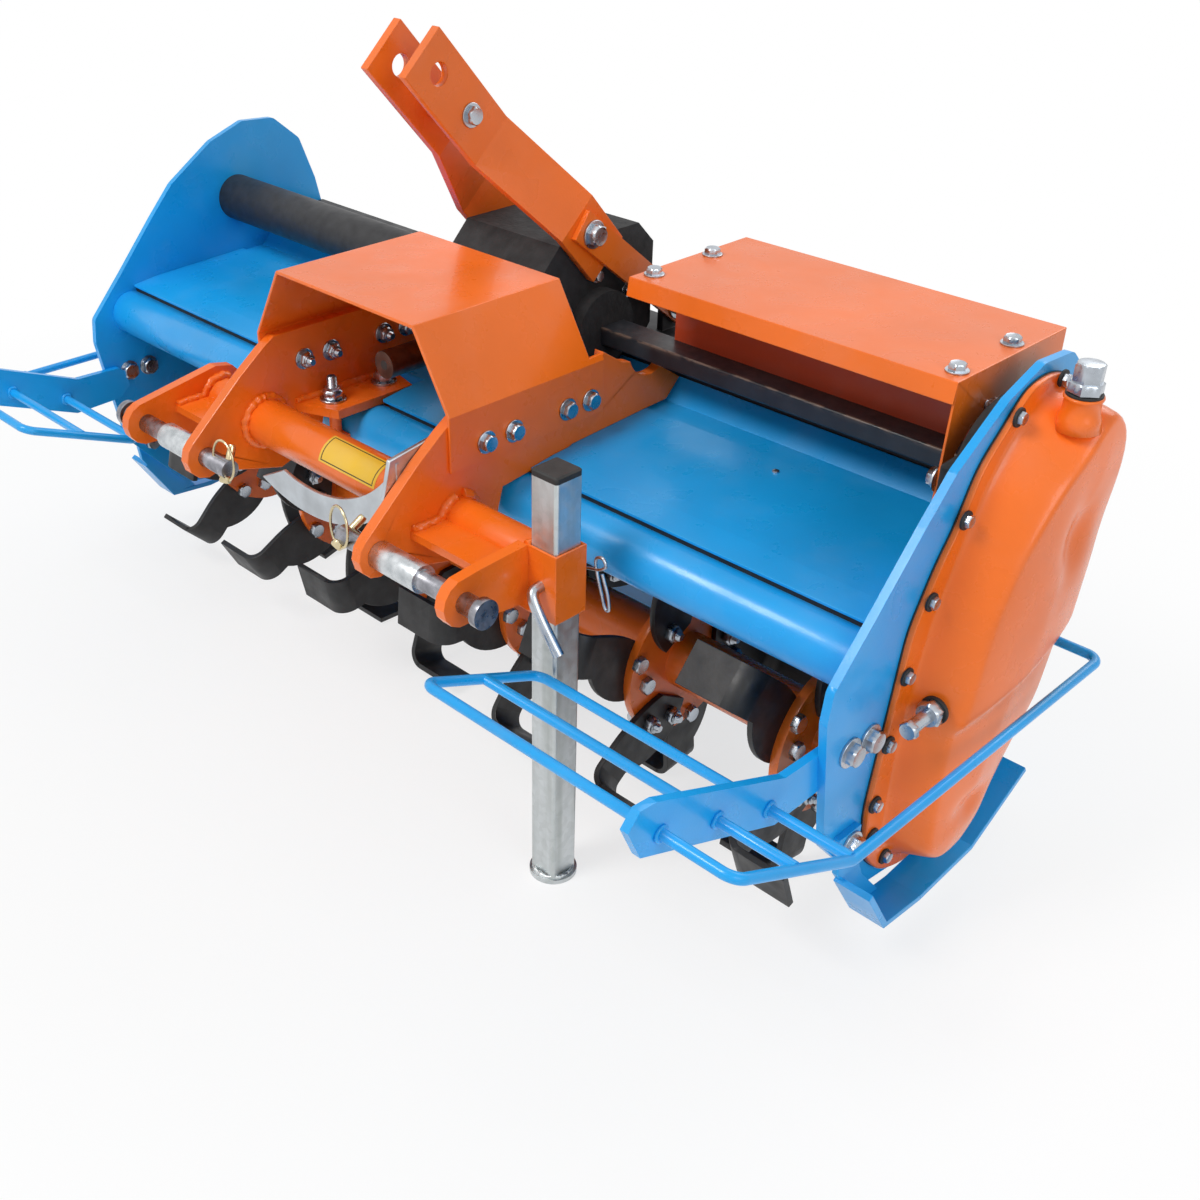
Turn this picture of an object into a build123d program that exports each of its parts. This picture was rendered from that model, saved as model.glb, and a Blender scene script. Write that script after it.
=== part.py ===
from build123d import *
import math
import os

# Rotary tiller for a tractor's three-point hitch, driven by its power take-off.
# Millimetres. X runs across the machine towards the gear case, Y towards the rear, Z up.
# The origin is on the lower hitch pins' axis, midway between the two hitch plates.

os.makedirs("parts", exist_ok=True)

# Floor and side plates
floor_z = -440.0
side_plate_t = 10.0
right_plate_outer = 690.0
left_plate_outer = -745.0
right_plate_inner = right_plate_outer - side_plate_t
left_plate_inner = left_plate_outer + side_plate_t
width_inside = right_plate_inner - left_plate_inner
fit_gap = 0.3
plate_rounding = 16.0

# Front cross tube
tube_y = 226.0
tube_z = -14.0
tube_r = 34.0
tube_wall = 5.0

# Rotor
rotor_y = 360.0
rotor_z = -232.0
rotor_tip_r = 208.0
rotor_tube_r = 38.0
rotor_flange_r = 104.0
rotor_flange_t = 12.0
rotor_flange_count = 6
rotor_flange_pitch = 230.0
rotor_first_flange_x = 565.0
rotor_stub_r = 20.0
rotor_hub_r = 60.0
rotor_hub_t = 14.0
rotor_end_gap = 6.0
running_gap = 0.05

# Blades
blade_t = 8.0
blade_reach = 90.0
blade_w = 56.0
blade_bend_r = 22.0
blade_per_flange = 6
blade_first_angle = 140.0
blade_step_angle = 17.0
blade_root_lean = 26.0
blade_root_r = 70.0
blade_neck_r = 168.0

# Upper drive line
drive_y = 448.0
drive_z = 127.0
drive_tube_r = 36.0
drive_flange_r = 104.0
drive_flange_t = 20.0
gearbox_half = 85.0
gearbox_boss_r = 50.0
gearbox_boss_t = 20.0
neck_r = 60.0
neck_front_r = 46.0
neck_step_y = 300.0
neck_front_y = 262.0
shaft_r = 17.45
shaft_front_y = 163.0
shaft_rear_y = 330.0
journal_r = 22.0
journal_front_y = 258.0

# Deck sheets and cross beam
sheet_t = 4.0
deck_path = [(236, 26), (275, 31), (296, 32.5), (446, 39.5)]
ledge_path = [(430, 34.7), (487, 37.4), (513.2, 64)]
deck_notch_y = 308.0
beam_front_y = 515.0
beam_rear_y = 619.0
beam_low_z = 40.0
beam_top_z = 90.0
beam_wall = 5.0

# Folded cover over the drive tube
cover_t = 3.0
cover_front_y = 388.0
cover_rear_y = 606.0
cover_top_z = 232.0
cover_lip = 22.0
cover_left_x = 196.0
cover_right_x = 643.0

# Gear case
case_flange_t = 6.0
case_gasket_t = 2.0
case_rounding = 14.0
case_rim = 16.0
case_depth = 70.0
case_draft = 12.0
case_round = 16.0
case_step = 9.0
case_step_draft = 50.0
case_front = [(249, -214), (264, -112), (281, 10), (288, 21), (316, 77), (335, 100), (366, 166), (400, 194)]
case_top_centre = (470, 118)
case_top_r = 116.0
case_bottom_r = 114.0
filler_r = 17.0
filler_x = 738.0
filler_y = 470.0
filler_top_z = 245.0

# Hitch
hitch_plate_t = 15.0
hitch_plate_outer = 182.0
hitch_plate_inner = hitch_plate_outer - hitch_plate_t
lug_outer = 325.0
lug_inner = lug_outer - hitch_plate_t
lug_tube_y = 118.0
lug_tube_z = 5.0
lug_tube_r = 26.0
hitch_nose_r = 29.0
hitch_pin_r = 12.5
hitch_sleeve_r = 17.0
hitch_sleeve_len = 76.0
hitch_pin_head_r = 17.5
hitch_pin_head_t = 10.0
hitch_pin_head_x = 360.0
hitch_pin_inner_x = 115.0
cross_tube_y = 92.0
cross_tube_z = 22.0
cross_tube_r = 30.0
clamp_t = 12.0
clamp_inner_x = 105.0
clamp_bolt_x = 140.0
clamp_bolt_r = 8.0
saddle_t = 6.0

# Mast for the top link
mast_t = 12.0
mast_w = 70.0
mast_half_gap = 27.0
mast_pin_y = 235.0
mast_pin_z = 460.0
mast_pin_r = 12.8
mast_lean = 42.0
mast_pin_s = 330.0
stay_t = 8.0
stay_w = 40.0

# Parking stand
stand_x = 344.5
stand_y = 118.0
stand_size = 40.0
stand_wall = 3.0
stand_top_z = 118.0
socket_gap = 0.5
socket_wall = 3.5
socket_top_z = 34.0
socket_bottom_z = -52.0
foot_r = 30.0
foot_t = 6.0
cap_t = 8.0

# Depth skids
skid_t = 8.0
skid_w = 48.0

# Guards in front of the side plates
rod_r = 6.0
guard_bar_t = 10.0
front_rod = (-83.0, -50.0)
middle_rod = (0.0, -84.0)
rear_rod = (84.0, -120.0)
side_rod_z = -123.0
side_rod_rear_y = 576.0

# Tailboard behind the rotor
tail_hinge_y = 604.0
tail_hinge_z = 18.0
tail_hinge_r = 8.0
tail_knuckle_r = 14.0
tail_t = 4.0
tail_end_gap = 8.0
quadrant_r = 114.0
quadrant_half_w = 13.0
quadrant_slot_r = 7.0
quadrant_t = 8.0


def save(name, part):
    """Label a finished piece and write it."""
    part.label = name
    export_step(part, "parts/" + name + ".step")


def polar(centre, r, angle):
    """Point (y, z) at a radius and angle from a centre, measured from +Y towards +Z."""
    turn = math.radians(angle)
    return (centre[0] + r * math.cos(turn), centre[1] + r * math.sin(turn))


def yz_slab(outline, x_low, x_high, holes=(), rounding=0.0):
    """Flat plate across X from an outline in Y and Z, with rounded corners and round holes (y, z, r)."""
    with BuildPart() as slab:
        with BuildSketch(Plane.YZ.offset(x_low)) as slab_sketch:
            with BuildLine():
                Polyline(*outline, close=True)
            make_face()
            if rounding:
                fillet(slab_sketch.vertices(), rounding)
            for hole_y, hole_z, hole_r in holes:
                with Locations((hole_y, hole_z)):
                    Circle(hole_r, mode=Mode.SUBTRACT)
        extrude(amount=x_high - x_low)
    return slab.part


def x_tube(y, z, r, x_low, x_high, bore=0.0):
    """Round bar along X, or a tube when it has a bore radius."""
    with BuildPart() as bar:
        with BuildSketch(Plane.YZ.offset(x_low)):
            with Locations((y, z)):
                Circle(r)
                if bore:
                    Circle(bore, mode=Mode.SUBTRACT)
        extrude(amount=x_high - x_low)
    return bar.part


def bent_sheet(path, thickness, x_low, x_high):
    """Folded sheet whose section runs along a line of points in Y and Z."""
    with BuildPart() as sheet:
        with BuildSketch(Plane.YZ.offset(x_low)):
            with BuildLine() as run:
                Polyline(*path)
            trace(run.line, thickness)
        extrude(amount=x_high - x_low)
    return sheet.part


def mirrored(part, side):
    """The piece itself on the right, or its mirror image on the left."""
    return part if side > 0 else part.mirror(Plane.YZ)


# Side plates
rotor_centre = (rotor_y, rotor_z)
plate_front = [(181, -226), (155, -50), (160, -12), (218, 50), (285, 124), (329, 170), (409, 222)]
plate_top = [(472, 244), (532, 240), (580, 200), (606, 130), (622, 60), (628, 6), (612, -60)]
plate_low = [(592, -140), (520, -262), (440, -335), (360, -352), (280, -340)]
plate_holes = [(rotor_y, rotor_z, rotor_stub_r + 10), (tail_hinge_y, tail_hinge_z, tail_hinge_r)]
plate_outline = plate_front + plate_top + plate_low
plate_right = yz_slab(plate_outline, right_plate_inner, right_plate_outer, plate_holes, plate_rounding)
plate_left = yz_slab(plate_outline, left_plate_outer, left_plate_inner, plate_holes, plate_rounding)
save("side_plate_right", plate_right)
save("side_plate_left", plate_left)

# Front cross tube
tube_bore = tube_r - tube_wall
save("front_tube", x_tube(tube_y, tube_z, tube_r, left_plate_inner, right_plate_inner, tube_bore))

# Deck sheet with a notch round each tube clamp
deck_sheet = bent_sheet(deck_path, sheet_t, left_plate_inner, right_plate_inner)
with BuildPart() as deck:
    add(deck_sheet)
    for side in (1, -1):
        notch_x = side * (clamp_inner_x - 3 + hitch_plate_outer + 1) / 2
        with Locations((notch_x, (deck_notch_y + tube_y) / 2, tube_z + tube_r + 10)):
            Box(hitch_plate_outer - clamp_inner_x + 4, deck_notch_y - tube_y, 60, mode=Mode.SUBTRACT)
save("deck_front", deck.part)
save("deck_rear", bent_sheet(ledge_path, sheet_t, left_plate_inner, right_plate_inner))

# Cross beam behind the deck, with lugs for the mast's stays
beam_right_x = right_plate_inner - drive_flange_t
stay_inner_x = gearbox_half + mast_t
with BuildPart() as beam:
    with BuildSketch(Plane.YZ.offset(left_plate_inner)):
        with Locations(((beam_front_y + beam_rear_y) / 2, (beam_low_z + beam_top_z) / 2)):
            Rectangle(beam_rear_y - beam_front_y, beam_top_z - beam_low_z)
            Rectangle(
                beam_rear_y - beam_front_y - 2 * beam_wall,
                beam_top_z - beam_low_z - 2 * beam_wall,
                mode=Mode.SUBTRACT,
            )
    extrude(amount=beam_right_x - left_plate_inner)
    for side in (1, -1):
        with BuildSketch(Plane.XY.offset(beam_top_z)):
            with Locations((side * (stay_inner_x - 5), 590)):
                Rectangle(10, 44)
        extrude(amount=48)
save("cross_beam", beam.part)

# Folded cover with its end plate, slotted for the drive tube
slot_half = drive_tube_r + 6
with BuildPart() as cover:
    with BuildSketch(Plane.YZ.offset(cover_left_x)):
        with BuildLine() as cover_line:
            Polyline(
                (cover_front_y - 4, cover_top_z - cover_lip),
                (cover_front_y, cover_top_z),
                (cover_rear_y, cover_top_z),
                (cover_rear_y, beam_top_z),
            )
        trace(cover_line.line, cover_t)
    extrude(amount=cover_right_x - cover_left_x)
    with BuildSketch(Plane.YZ.offset(cover_right_x - cover_t)):
        with BuildLine():
            Polyline(
                (cover_front_y, cover_top_z),
                (cover_front_y - 10, beam_top_z),
                (drive_y - slot_half, beam_top_z),
                (drive_y - slot_half, drive_z + slot_half / 2),
                (drive_y - slot_half / 2, drive_z + slot_half),
                (drive_y + slot_half / 2, drive_z + slot_half),
                (drive_y + slot_half, drive_z + slot_half / 2),
                (drive_y + slot_half, beam_top_z),
                (cover_rear_y, beam_top_z),
                (cover_rear_y, cover_top_z),
                close=True,
            )
        make_face()
    extrude(amount=cover_t)
save("top_cover", cover.part)

# Gear case: gasket, flange and pressed cover, whose lower face stands back below a slanting crease
case_top = [polar(case_top_centre, case_top_r, a) for a in (108, 84, 60, 36, 12)]
case_rear = [(578, 20), (560, -90), (540, -170)]
case_bottom = [polar(rotor_centre, case_bottom_r, a) for a in (-12, -40, -68, -96, -124, -152)]
case_outline = case_front + case_top + case_rear + case_bottom
case_crease = [(150, -112), (308, -102), (404, -88), (484, -70), (700, -20), (700, -500), (150, -500)]
flange_low = right_plate_outer + case_gasket_t
flange_high = flange_low + case_flange_t
body_high = flange_high + case_depth
save("case_gasket", yz_slab(case_outline, right_plate_outer, flange_low, rounding=case_rounding))

with BuildPart() as gear_case:
    with BuildSketch(Plane.YZ.offset(flange_low)) as case_face:
        with BuildLine():
            Polyline(*case_outline, close=True)
        make_face()
        fillet(case_face.vertices(), case_rounding)
    extrude(amount=case_flange_t)
    with BuildSketch(Plane.YZ.offset(flange_high)):
        add(case_face.sketch_local)
        offset(amount=-case_rim)
    extrude(amount=case_depth, taper=case_draft)
    fillet(gear_case.faces().sort_by(Axis.X)[-1].edges(), case_round)
    with BuildSketch(Plane.YZ.offset(body_high - case_step)):
        with BuildLine():
            Polyline(*case_crease, close=True)
        make_face()
    extrude(amount=case_step, taper=-case_step_draft, mode=Mode.SUBTRACT)
    with BuildSketch(Plane.XY.offset(filler_top_z - 70)):
        with Locations((filler_x, filler_y)):
            Circle(filler_r)
    extrude(amount=70)
save("gear_case", gear_case.part)

with BuildPart() as filler_cap:
    with BuildSketch(Plane.XY.offset(filler_top_z)):
        with Locations((filler_x, filler_y)):
            RegularPolygon(15, 6)
    extrude(amount=12)
    with BuildSketch(Plane.XY.offset(filler_top_z + 12)):
        with Locations((filler_x, filler_y)):
            Circle(11)
    extrude(amount=8)
save("filler_cap", filler_cap.part)

# Drive tube, its cast flange, and the support tube on the other side
boss_end = gearbox_half + gearbox_boss_t
save("drive_tube", x_tube(drive_y, drive_z, drive_tube_r, boss_end, beam_right_x))
save("support_tube", x_tube(drive_y, drive_z, drive_tube_r, left_plate_inner, -boss_end))
with BuildPart() as drive_flange:
    with BuildSketch(Plane.YZ.offset(beam_right_x)):
        with Locations((drive_y, drive_z)):
            Circle(drive_flange_r)
        with BuildLine():
            Polyline((300, 0), (300, 46), (482, 46), (512, 74), (600, 74), (600, 0), close=True)
        make_face(mode=Mode.SUBTRACT)
    extrude(amount=drive_flange_t)
save("drive_flange", drive_flange.part)

# Gearbox with bearing bosses and an input neck
gearbox_front = [(345, 70), (365, 48), (476, 48), (505, 76), (511, 92), (545, 92), (555, 104)]
gearbox_top = [(555, 215), (525, 245), (380, 245), (345, 210)]
with BuildPart() as gearbox:
    with BuildSketch(Plane.YZ.offset(-gearbox_half)):
        with BuildLine():
            Polyline(*(gearbox_front + gearbox_top), close=True)
        make_face()
    extrude(amount=2 * gearbox_half)
    with BuildSketch(Plane.YZ.offset(-boss_end)):
        with Locations((drive_y, drive_z)):
            Circle(gearbox_boss_r)
    extrude(amount=2 * boss_end)
    with BuildSketch(Plane.XZ.offset(-350)):
        with Locations((0, drive_z)):
            Circle(neck_r)
    extrude(amount=350 - neck_step_y)
    with BuildSketch(Plane.XZ.offset(-neck_step_y)):
        with Locations((0, drive_z)):
            Circle(neck_front_r)
    extrude(amount=neck_step_y - neck_front_y)
    with BuildSketch(Plane.XZ.offset(-shaft_rear_y - 1)):
        with Locations((0, drive_z)):
            Circle(journal_r + running_gap)
    extrude(amount=shaft_rear_y + 1 - neck_front_y, mode=Mode.SUBTRACT)
save("gearbox", gearbox.part)

# Input shaft stub
with BuildPart() as pto:
    with BuildSketch(Plane.XZ.offset(-shaft_rear_y)):
        with Locations((0, drive_z)):
            Circle(journal_r)
    extrude(amount=shaft_rear_y - journal_front_y)
    with BuildSketch(Plane.XZ.offset(-journal_front_y)):
        with Locations((0, drive_z)):
            Circle(shaft_r)
    extrude(amount=journal_front_y - shaft_front_y)
save("pto_shaft", pto.part)

# Inner hitch plates, from the lower pins over the tube to the deck's wall
plate_nose = [polar((0, 0), hitch_nose_r, a) for a in (-60, -90, -120, -150, 180, 150, 128)]
plate_rise = [(61, 90), (99, 118), (118, 130), (358.5, 130), (360, 142), (395, 119), (452, 103)]
plate_under = [(508, 67), (483, 43), (446, 41.8), (308, 35.4), (292, 30), (262, 26), (190, 18), (176, -30)]
for side, name in ((1, "right"), (-1, "left")):
    holes = [
        (0, 0, hitch_pin_r + running_gap),
        (drive_y, drive_z, drive_tube_r + 3),
        (tube_y, tube_z, tube_r + fit_gap),
    ]
    outline = plate_nose + plate_rise + plate_under + [(110, -52)]
    plate = yz_slab(outline, hitch_plate_inner, hitch_plate_outer, holes)
    save("hitch_plate_" + name, mirrored(plate, side))

# Outer hitch lugs with the tube that ties each to its plate
socket_out = stand_size + 2 * socket_gap + 2 * socket_wall
socket_left_x = stand_x - socket_out / 2
socket_front_y = stand_y - socket_out / 2
lug_nose = [polar((0, 0), hitch_nose_r, a) for a in (-80, -105, -130, -155, 180, 155, 130, 105)]
right_lug_back = [(23, 31), (socket_front_y, 34), (socket_front_y, -51), (80, -38)]
left_lug_back = [polar((lug_tube_y, lug_tube_z), 44, a) for a in (95, 60, 25, -10, -45, -85)]
for side, name, back in ((1, "right", right_lug_back), (-1, "left", left_lug_back)):
    with BuildPart() as lug:
        with BuildSketch(Plane.YZ.offset(lug_inner)):
            with BuildLine():
                Polyline(*(lug_nose + back), close=True)
            make_face()
            Circle(hitch_pin_r + running_gap, mode=Mode.SUBTRACT)
        extrude(amount=hitch_plate_t)
        with BuildSketch(Plane.YZ.offset(hitch_plate_outer)):
            with Locations((lug_tube_y, lug_tube_z)):
                Circle(lug_tube_r)
        extrude(amount=(socket_left_x if side > 0 else lug_inner) - hitch_plate_outer)
        with Locations(((hitch_plate_outer + lug_inner) / 2, 70, 8)):
            Box(lug_inner - hitch_plate_outer, 50, 10)
    save("hitch_lug_" + name, mirrored(lug.part, side))

# Lower hitch pins with their sleeves
for side, name in ((1, "right"), (-1, "left")):
    with BuildPart() as hitch_pin:
        with BuildSketch(Plane.YZ.offset(hitch_pin_inner_x)):
            Circle(hitch_pin_r)
        extrude(amount=hitch_pin_head_x - hitch_pin_inner_x)
        with BuildSketch(Plane.YZ.offset(hitch_pin_head_x - hitch_pin_head_t)):
            Circle(hitch_pin_head_r)
        extrude(amount=hitch_pin_head_t)
        with BuildSketch(Plane.YZ.offset(hitch_plate_outer)):
            Circle(hitch_sleeve_r)
        extrude(amount=hitch_sleeve_len)
    save("hitch_pin_" + name, mirrored(hitch_pin.part, side))

# Tube clamps: upper plate, two bolts and a saddle under the tube
clamp_low = tube_z + tube_r + fit_gap
clamp_outline = [(hitch_plate_inner, 140), (hitch_plate_inner, 305), (clamp_inner_x, 290), (clamp_inner_x, 165)]
saddle_r = tube_r + fit_gap + saddle_t
bolt_offset = saddle_r + clamp_bolt_r - 6
for side, name in ((1, "right"), (-1, "left")):
    with BuildPart() as clamp:
        with BuildSketch(Plane.XY.offset(clamp_low)):
            with BuildLine():
                Polyline(*clamp_outline, close=True)
            make_face()
        extrude(amount=clamp_t)
        with BuildSketch(Plane.YZ.offset(clamp_bolt_x - 20)):
            with Locations((tube_y, tube_z)):
                Circle(saddle_r)
                Circle(tube_r + fit_gap, mode=Mode.SUBTRACT)
            with Locations((tube_y, tube_z + saddle_r / 2)):
                Rectangle(3 * saddle_r, saddle_r, mode=Mode.SUBTRACT)
        extrude(amount=40)
        for end in (1, -1):
            with BuildSketch(Plane.XY.offset(tube_z - 6)):
                with Locations((clamp_bolt_x, tube_y + end * bolt_offset)):
                    Rectangle(40, 16)
            extrude(amount=6)
            with BuildSketch(Plane.XY.offset(tube_z - 3)):
                with Locations((clamp_bolt_x, tube_y + end * bolt_offset)):
                    Circle(clamp_bolt_r)
            extrude(amount=clamp_low + 3 - tube_z + clamp_t / 2)
    save("tube_clamp_" + name, mirrored(clamp.part, side))

cross_bore = cross_tube_r - tube_wall
save(
    "hitch_cross_tube",
    x_tube(cross_tube_y, cross_tube_z, cross_tube_r, -hitch_plate_inner, hitch_plate_inner, cross_bore),
)

# Mast: bent bars from the gearbox's sides up to the top-link eyes, with a spacer
lean = math.radians(mast_lean)
up_dir = (0, -math.sin(lean), math.cos(lean))
foot = (0, mast_pin_y - mast_pin_s * up_dir[1], mast_pin_z - mast_pin_s * up_dir[2])
bar_plane = Plane(origin=foot, x_dir=(1, 0, 0), z_dir=(0, -math.cos(lean), -math.sin(lean)))
foot_x = gearbox_half + mast_t / 2
head_x = mast_half_gap + mast_t / 2
for side, name in ((1, "right"), (-1, "left")):
    with BuildPart() as leg:
        with BuildSketch(bar_plane):
            with BuildLine() as leg_line:
                Polyline((foot_x, 0), (foot_x, 85), (head_x, 215), (head_x, mast_pin_s + 35))
            trace(leg_line.line, mast_t)
        extrude(amount=mast_w / 2, both=True)
        with BuildSketch(Plane.YZ):
            with Locations((mast_pin_y, mast_pin_z)):
                Circle(mast_pin_r)
        extrude(amount=2 * foot_x, mode=Mode.SUBTRACT)
    save("mast_leg_" + name, mirrored(leg.part, side))
spacer_s = 262
spacer_y = foot[1] + spacer_s * up_dir[1]
spacer_z = foot[2] + spacer_s * up_dir[2]
save("mast_spacer", x_tube(spacer_y, spacer_z, 14, -mast_half_gap, mast_half_gap))

# Rear stays from the mast legs to the beam's lugs
stay_start = (foot[1] + 60 * up_dir[1], foot[2] + 60 * up_dir[2])
stay_end = (588, 124)
stay_dir = (stay_end[0] - stay_start[0], stay_end[1] - stay_start[1])
stay_len = math.hypot(*stay_dir)
along = (stay_dir[0] / stay_len, stay_dir[1] / stay_len)
half = stay_w / 2
stay_outline = [
    (stay_start[0] - along[0] * half - along[1] * half, stay_start[1] - along[1] * half + along[0] * half),
    (stay_end[0] + along[0] * half - along[1] * half, stay_end[1] + along[1] * half + along[0] * half),
    (stay_end[0] + along[0] * half + along[1] * half, stay_end[1] + along[1] * half - along[0] * half),
    (stay_start[0] - along[0] * half + along[1] * half, stay_start[1] - along[1] * half - along[0] * half),
]
for side, name in ((1, "right"), (-1, "left")):
    stay = yz_slab(stay_outline, stay_inner_x, stay_inner_x + stay_t)
    save("mast_stay_" + name, mirrored(stay, side))

# Socket and parking stand
with BuildPart() as socket:
    with BuildSketch(Plane.XY.offset(socket_bottom_z)):
        with Locations((stand_x, stand_y)):
            Rectangle(socket_out, socket_out)
            Rectangle(stand_size + 2 * socket_gap, stand_size + 2 * socket_gap, mode=Mode.SUBTRACT)
    extrude(amount=socket_top_z - socket_bottom_z)
save("stand_socket", socket.part)

with BuildPart() as stand:
    with BuildSketch(Plane.XY.offset(floor_z)):
        with Locations((stand_x, stand_y)):
            Circle(foot_r)
    extrude(amount=foot_t)
    with BuildSketch(Plane.XY.offset(floor_z + foot_t)):
        with Locations((stand_x, stand_y)):
            RectangleRounded(stand_size, stand_size, 4)
            inside = stand_size - 2 * stand_wall
            RectangleRounded(inside, inside, 2, mode=Mode.SUBTRACT)
    extrude(amount=stand_top_z - floor_z - foot_t)
save("stand_tube", stand.part)

with BuildPart() as stand_cap:
    with BuildSketch(Plane.XY.offset(stand_top_z)):
        with Locations((stand_x, stand_y)):
            RectangleRounded(stand_size, stand_size, 4)
    extrude(amount=cap_t)
    chamfer(stand_cap.faces().sort_by(Axis.Z)[-1].edges(), 2)
save("stand_cap", stand_cap.part)

# Hood over the input shaft
hood_t = 4.0
hood_x = hitch_plate_outer + hood_t / 2
hood_path = [(hood_x, 65), (hood_x, 133), (128, 225), (-128, 225), (-hood_x, 133), (-hood_x, 65)]
hood_front_y = 106.0
hood_rear_y = 358.0
with BuildPart() as hood:
    with BuildSketch(Plane.XZ.offset(-hood_rear_y)):
        with BuildLine() as hood_line:
            Polyline(*hood_path)
        trace(hood_line.line, hood_t)
    extrude(amount=hood_rear_y - hood_front_y)
    with Locations((0, hood_rear_y, 200)):
        Box(2 * hood_x, 44, 120, mode=Mode.SUBTRACT)
save("shaft_hood", hood.part)

# Hook that holds the drive shaft when it is off the tractor
hook_y = 45.0
hook_t = 6.0
with BuildPart() as hook:
    with BuildSketch(Plane.XZ.offset(-hook_y - hook_t / 2)):
        with BuildLine():
            ThreePointArc((-110, -21), (20, -36), (hitch_plate_inner, 46))
            Line((hitch_plate_inner, 46), (hitch_plate_inner, 94))
            ThreePointArc((hitch_plate_inner, 94), (50, 6), (-62, 4))
            Line((-62, 4), (-110, -21))
        make_face()
    extrude(amount=hook_t)
save("shaft_hook", hook.part)

# Guards: three rods through a bar on each side plate's inner face
bar_front = [(182, -96), (108, -94), (-90, -10), (-112, -8), (-127, -25), (-109, -64)]
bar_rear = [(98, -149), (176, -146), (196, -130), (192, -104)]
guards = (
    ("right", 1, right_plate_inner, 353.0, 766.0, 780.0),
    ("left", -1, -left_plate_inner, 510.0, 850.0, 865.0),
)
for name, side, plate_x, inner_x, corner_x, outer_x in guards:
    bar = yz_slab(bar_front + bar_rear, plate_x - guard_bar_t, plate_x)
    with BuildPart() as guard:
        with BuildLine() as loop:
            FilletPolyline(
                (corner_x - 60, rear_rod[0], rear_rod[1]),
                (inner_x, rear_rod[0], rear_rod[1]),
                (inner_x, front_rod[0], front_rod[1]),
                (corner_x, front_rod[0], front_rod[1]),
                (outer_x, rear_rod[0], side_rod_z),
                (outer_x, side_rod_rear_y, side_rod_z),
                (plate_x + side_plate_t, side_rod_rear_y, side_rod_z),
                radius=16,
            )
        with BuildSketch(Plane(origin=loop.line @ 0, z_dir=loop.line % 0)):
            Circle(rod_r)
        sweep()
        for rod, end_x in ((middle_rod, corner_x + 6), (rear_rod, outer_x - 1)):
            with BuildSketch(Plane.YZ.offset(inner_x)):
                with Locations(rod):
                    Circle(rod_r)
            extrude(amount=end_x - inner_x)
        add(bar)
    save("guard_" + name, mirrored(guard.part, side))

# Depth skids outside the side plates
skid_path = [(214, -288), (258, -358), (330, -364), (440, -354), (545, -292)]
skid_lug = [(200, -222), (240, -222), (240, -262), (258, -306), (300, -356), (258, -356), (206, -276)]
for side, name, plate_x in ((1, "right", right_plate_outer), (-1, "left", -left_plate_outer)):
    strip = bent_sheet(skid_path, skid_t, plate_x, plate_x + skid_w)
    skid_plate = yz_slab(skid_lug, plate_x, plate_x + skid_t)
    with BuildPart() as skid:
        add(strip)
        add(skid_plate)
    save("skid_" + name, mirrored(skid.part, side))

# Rotor tube with its flanges and end stubs
hub_face_right = right_plate_inner - rotor_hub_t
hub_face_left = left_plate_inner + rotor_hub_t
with BuildPart() as rotor:
    with BuildSketch(Plane.YZ.offset(hub_face_left + rotor_end_gap)):
        with Locations(rotor_centre):
            Circle(rotor_tube_r)
    extrude(amount=hub_face_right - hub_face_left - 2 * rotor_end_gap)
    for index in range(rotor_flange_count):
        flange_x = rotor_first_flange_x - index * rotor_flange_pitch
        with BuildSketch(Plane.YZ.offset(flange_x - rotor_flange_t / 2)):
            with Locations(rotor_centre):
                Circle(rotor_flange_r)
        extrude(amount=rotor_flange_t)
    with BuildSketch(Plane.YZ.offset(left_plate_inner)):
        with Locations(rotor_centre):
            Circle(rotor_stub_r)
    extrude(amount=width_inside)
save("rotor_tube", rotor.part)

# Bearing hubs for the rotor on the side plates
hub_bore = rotor_stub_r + running_gap
save("rotor_hub_right", x_tube(rotor_y, rotor_z, rotor_hub_r, hub_face_right, right_plate_inner, hub_bore))
save("rotor_hub_left", x_tube(rotor_y, rotor_z, rotor_hub_r, left_plate_inner, hub_face_left, hub_bore))


def blade(flange_x, hand, angle):
    """One blade: a swept shank flat on the flange, bent at the tip into a leg along X."""
    face_x = flange_x + hand * rotor_flange_t / 2
    radial = (0, math.cos(math.radians(angle)), math.sin(math.radians(angle)))
    chord = (0, -radial[2], radial[1])
    half_w = blade_w / 2
    leg_r = math.sqrt(rotor_tip_r**2 - half_w**2) - blade_t / 2
    shank_x = hand * blade_t / 2
    tip_x = hand * blade_reach
    section = Plane(origin=(face_x, rotor_y, rotor_z), x_dir=(1, 0, 0), z_dir=chord)
    with BuildPart() as piece:
        with BuildSketch(section):
            with BuildLine() as bend:
                FilletPolyline((shank_x, blade_neck_r - 20), (shank_x, leg_r), (tip_x, leg_r), radius=blade_bend_r)
            trace(bend.line, blade_t)
        extrude(amount=half_w, both=True)
        with BuildSketch(Plane.YZ.offset(face_x)):
            neck_half = math.degrees(math.atan2(half_w, blade_neck_r))
            root_angle = angle + blade_root_lean
            with BuildLine():
                neck_high = polar(rotor_centre, blade_neck_r, angle + neck_half)
                neck_low = polar(rotor_centre, blade_neck_r, angle - neck_half)
                root_high = polar(rotor_centre, blade_root_r - 12, root_angle + 22)
                root_low = polar(rotor_centre, blade_root_r - 12, root_angle - 30)
                Line(neck_low, neck_high)
                ThreePointArc(neck_high, polar(rotor_centre, 112, root_angle + 8), root_high)
                Line(root_high, root_low)
                ThreePointArc(root_low, polar(rotor_centre, 110, angle - 12), neck_low)
            make_face()
        extrude(amount=hand * blade_t)
    return piece.part


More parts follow.
